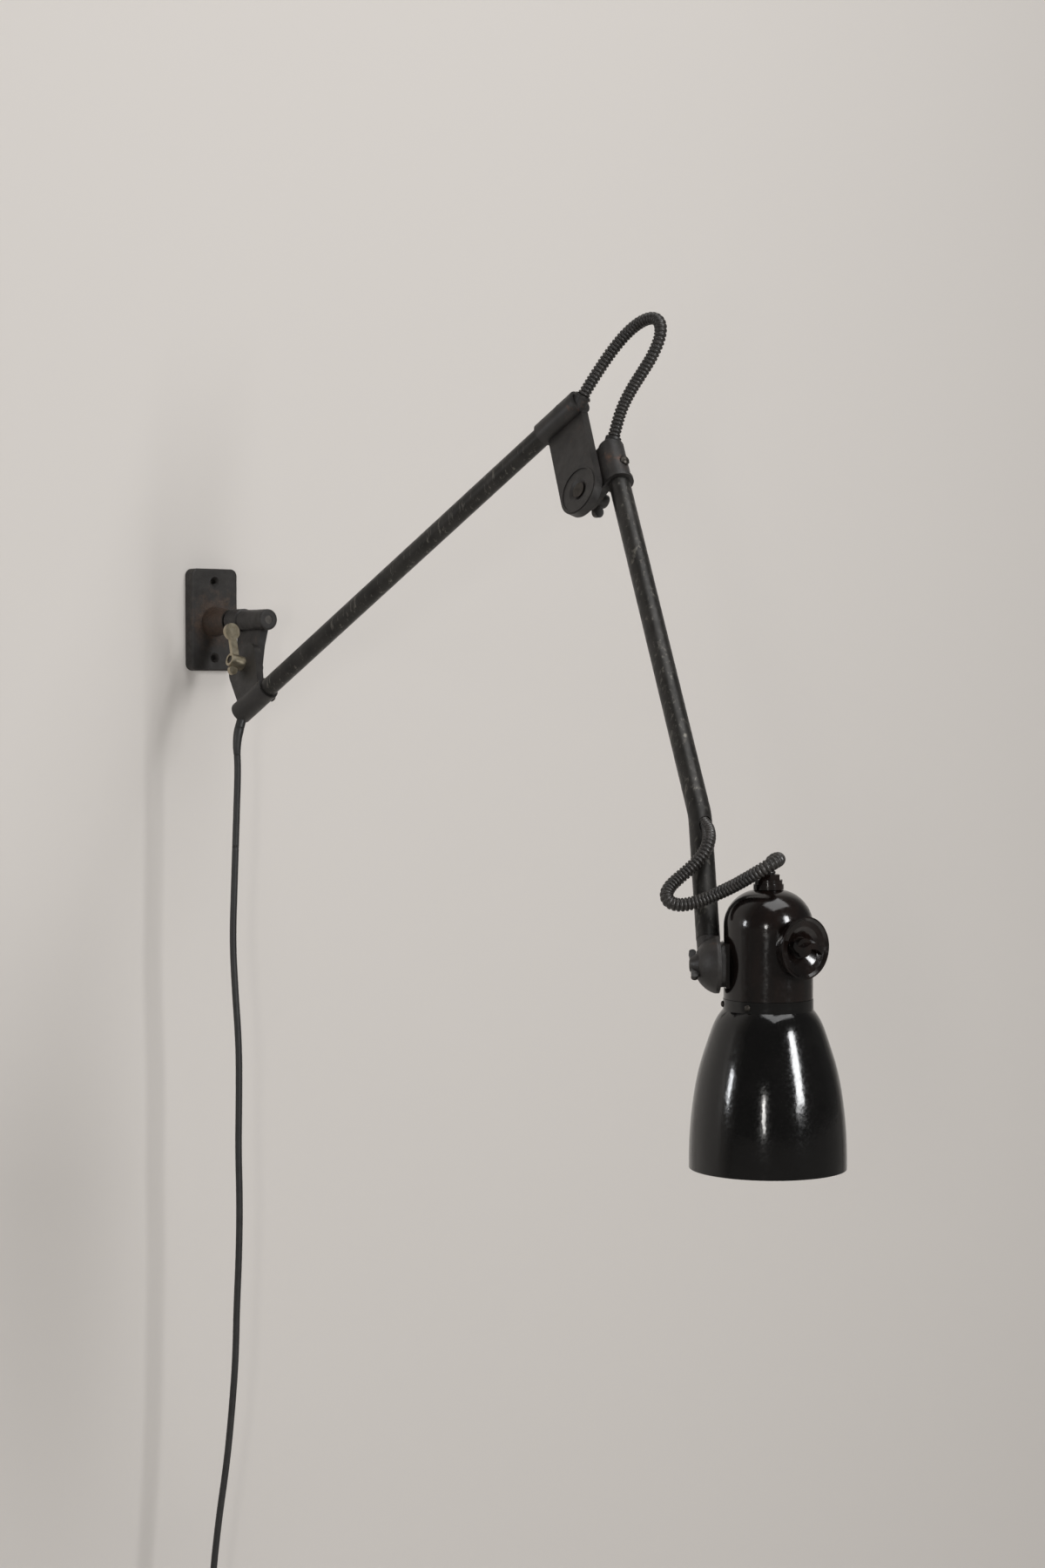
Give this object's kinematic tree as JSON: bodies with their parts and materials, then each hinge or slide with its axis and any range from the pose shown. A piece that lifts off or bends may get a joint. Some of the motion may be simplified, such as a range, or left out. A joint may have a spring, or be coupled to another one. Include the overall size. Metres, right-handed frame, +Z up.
{
  "type": "articulating wall lamp",
  "caption": "Wall lamp with a swivelling knuckle, straight and bent tube arms on friction hinges, ribbed conduits and a belled shade under a switch housing.",
  "frame": {"origin": "centre of the wall plate's flat back face", "axes": "+Y goes into the wall, so the lamp stands out along -Y; +Z is up and +X is to the right seen from the room"},
  "size_m": [0.1789, 0.9499, 1.3468],
  "materials": {
    "worn_black_iron": "dark worn paint over cast iron, satin",
    "dark_tube_steel": "dark worn paint over steel tube, satin with bright rubbed lines",
    "dark_screws": "blackened steel",
    "worn_nickel": "worn nickel plating",
    "dark_conduit": "dark ribbed sheath, satin",
    "moulded_housing": "very dark polished moulding",
    "black_enamel": "black enamel, glossy",
    "porcelain": "white glazed lamp holder",
    "brass": "plain",
    "bulb_glass": "clear",
    "bulb_cap": "plain",
    "black_rubber": "matte cord sheath",
    "black_plug": "matte",
    "pin_steel": "ground"
  },
  "bodies": {
    "wall_mount": {"wall_plate": "worn_black_iron", "wall_pin": "pin_steel", "pin_washer": "dark_screws", "pin_cap": "worn_black_iron", "mains_cord": "black_rubber", "cord_coil": "black_rubber", "cord_tie": "black_rubber", "cord_tail": "black_rubber", "mains_plug": "black_plug", "plug_pins": "brass"},
    "knuckle": {"wall_knuckle": "worn_black_iron", "wall_hinge_bolt": "dark_screws", "wall_friction_washer": "dark_screws"},
    "lower_arm": {"lower_socket": "worn_black_iron", "lower_socket_screw": "dark_screws", "cord_bush": "black_rubber", "cord_lead": "black_rubber", "lower_tube": "dark_tube_steel", "elbow_lower_casting": "worn_black_iron", "elbow_lower_screws": "dark_screws", "conduit_ferrule": "worn_black_iron", "elbow_bolt": "dark_screws", "elbow_friction_disc": "dark_screws", "elbow_conduit": "dark_conduit"},
    "upper_arm": {"elbow_upper_casting": "worn_black_iron", "elbow_upper_screw": "dark_screws", "upper_tube": "dark_tube_steel", "head_casting": "worn_black_iron"},
    "head": {"head_bracket": "worn_black_iron", "head_hinge_bolt": "dark_screws", "head_friction_washer": "dark_screws", "housing": "moulded_housing", "head_gland": "moulded_housing", "switch_dish": "moulded_housing", "switch_block": "porcelain", "lamp_holder": "porcelain", "holder_shell": "brass", "centre_contact": "brass", "bulb_cap": "bulb_cap", "bulb_glass": "bulb_glass", "shade_ring": "moulded_housing", "shade": "black_enamel", "shade_screws": "dark_screws", "head_conduit": "dark_conduit"},
    "key": {"switch_key": "moulded_housing", "switch_spindle": "brass"},
    "wall_nut": {"wall_wing_nut": "worn_nickel"},
    "elbow_nut": {"elbow_wing_nut": "worn_black_iron"},
    "head_nut": {"head_wing_nut": "worn_black_iron"}
  },
  "joints": [
    {"name": "wall_swivel", "type": "hinge", "parent": "wall_mount", "child": "knuckle", "pos_m": [0, 0, -0.002], "axis": [0, 1, 0], "range_deg": [-75, 60], "deforming": ["mains_cord"]},
    {"name": "lower_arm_tilt", "type": "hinge", "parent": "knuckle", "child": "lower_arm", "pos_m": [-0.01437, -0.1043, -0.04759], "axis": [-0.9537, 0, 0.3007], "range_deg": [-60, 45], "deforming": ["cord_lead"]},
    {"name": "elbow", "type": "hinge", "parent": "lower_arm", "child": "upper_arm", "pos_m": [0.03046, -0.58226, 0.09461], "axis": [-0.9537, 0, 0.3007], "range_deg": [-65, 80], "deforming": ["elbow_conduit"]},
    {"name": "head_tilt", "type": "hinge", "parent": "upper_arm", "child": "head", "pos_m": [-0.06744, -0.87139, -0.27388], "axis": [0.8381, -0.5455, 0], "range_deg": [-60, 60], "deforming": ["head_conduit"]},
    {"name": "switch_turn", "type": "hinge", "parent": "head", "child": "key", "pos_m": [-0.03668, -0.89141, -0.25888], "axis": [0, -1, 0], "continuous": true},
    {"name": "wall_nut_turn", "type": "hinge", "parent": "knuckle", "child": "wall_nut", "pos_m": [-0.01437, -0.1043, -0.04759], "axis": [-0.9537, 0, 0.3007], "continuous": true},
    {"name": "elbow_nut_turn", "type": "hinge", "parent": "lower_arm", "child": "elbow_nut", "pos_m": [0.03046, -0.58226, 0.09461], "axis": [-0.9537, 0, 0.3007], "continuous": true},
    {"name": "head_nut_turn", "type": "hinge", "parent": "head", "child": "head_nut", "pos_m": [-0.06744, -0.87139, -0.27388], "axis": [0.8381, -0.5455, 0], "continuous": true}
  ]
}
